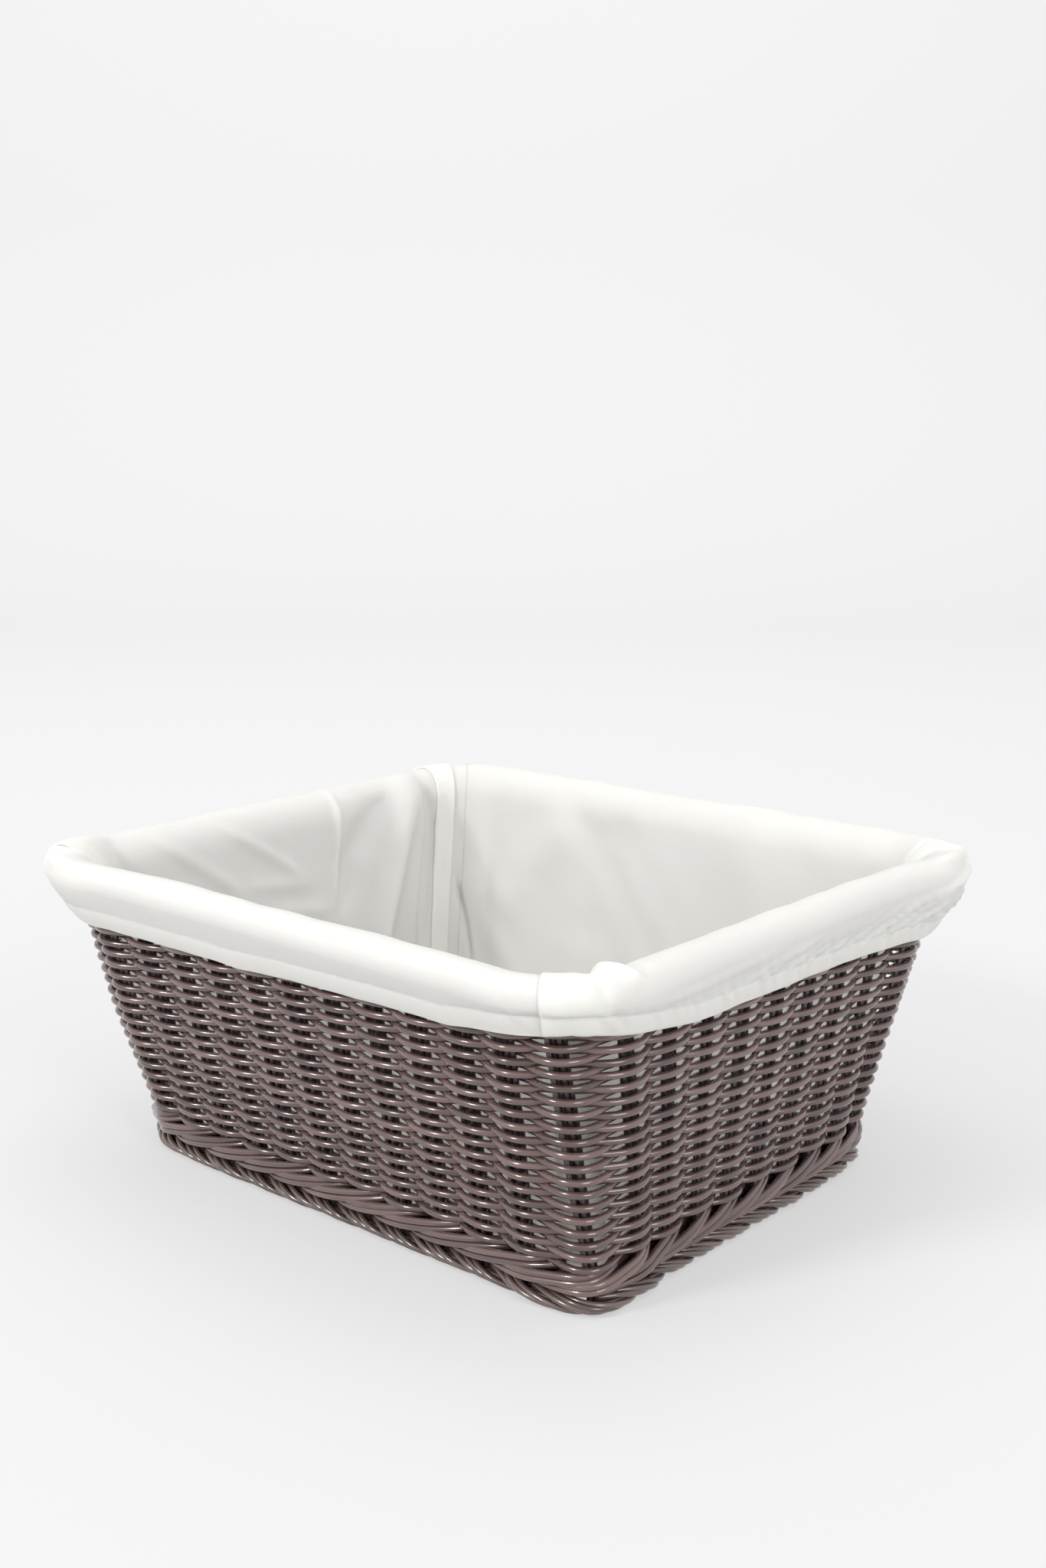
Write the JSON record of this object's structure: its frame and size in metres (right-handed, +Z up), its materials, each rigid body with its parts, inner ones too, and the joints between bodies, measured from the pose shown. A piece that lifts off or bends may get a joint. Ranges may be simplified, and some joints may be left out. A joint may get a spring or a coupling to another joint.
{
  "type": "laundry basket",
  "caption": "Rectangular flared laundry basket of round woven strands on bundled stakes, with a removable white cloth liner whose elastic-hemmed cuff folds over the rim.",
  "frame": {"origin": "centre of the underside, on the surface that the basket stands on", "axes": "+X along the length, +Y across the width, +Z up"},
  "size_m": [0.4302, 0.3924, 0.1865],
  "materials": {
    "weave_strand": "satin mauve-brown round synthetic rattan strand",
    "stake_strand": "darker brown round synthetic rattan strand",
    "liner_cloth": "thin white plain-weave cotton",
    "liner_seam": "folded and stitched white cotton seam allowance",
    "elastic": "flat white braided elastic"
  },
  "bodies": {
    "basket": {"base_mat": "weave_strand", "base_sticks": "weave_strand", "foot_border_back": "weave_strand", "foot_border_front": "weave_strand", "foot_border_left": "weave_strand", "foot_border_right": "weave_strand", "rim_border_back": "weave_strand", "rim_border_front": "weave_strand", "rim_border_left": "weave_strand", "rim_border_right": "weave_strand", "rim_corner_back_left": "weave_strand", "rim_corner_back_right": "weave_strand", "rim_corner_front_left": "weave_strand", "rim_corner_front_right": "weave_strand", "stakes_back": "stake_strand", "stakes_corners": "stake_strand", "stakes_front": "stake_strand", "stakes_left": "stake_strand", "stakes_right": "stake_strand", "waling_back": "weave_strand", "waling_front": "weave_strand", "waling_left": "weave_strand", "waling_right": "weave_strand", "weave_back": "weave_strand", "weave_corner_back_left": "weave_strand", "weave_corner_back_right": "weave_strand", "weave_corner_front_left": "weave_strand", "weave_corner_front_right": "weave_strand", "weave_front": "weave_strand", "weave_left": "weave_strand", "weave_right": "weave_strand"},
    "liner": {"cuff_back": "liner_cloth", "cuff_front": "liner_cloth", "cuff_left": "liner_cloth", "cuff_right": "liner_cloth", "cuff_skirt_back": "liner_cloth", "cuff_skirt_front": "liner_cloth", "cuff_skirt_left": "liner_cloth", "cuff_skirt_right": "liner_cloth", "hem_elastic": "elastic", "liner_back": "liner_cloth", "liner_bottom": "liner_cloth", "liner_front": "liner_cloth", "liner_left": "liner_cloth", "liner_right": "liner_cloth", "liner_seam_back_left": "liner_seam", "liner_seam_back_right": "liner_seam", "liner_seam_front_left": "liner_seam", "liner_seam_front_right": "liner_seam"}
  },
  "joints": [
    {"name": "liner_lift", "type": "slide", "parent": "basket", "child": "liner", "axis": [0, 0, 1], "range_m": [0, 0.21], "deforming": ["cuff_skirt_back", "cuff_skirt_front", "cuff_skirt_left", "cuff_skirt_right", "hem_elastic"]}
  ]
}
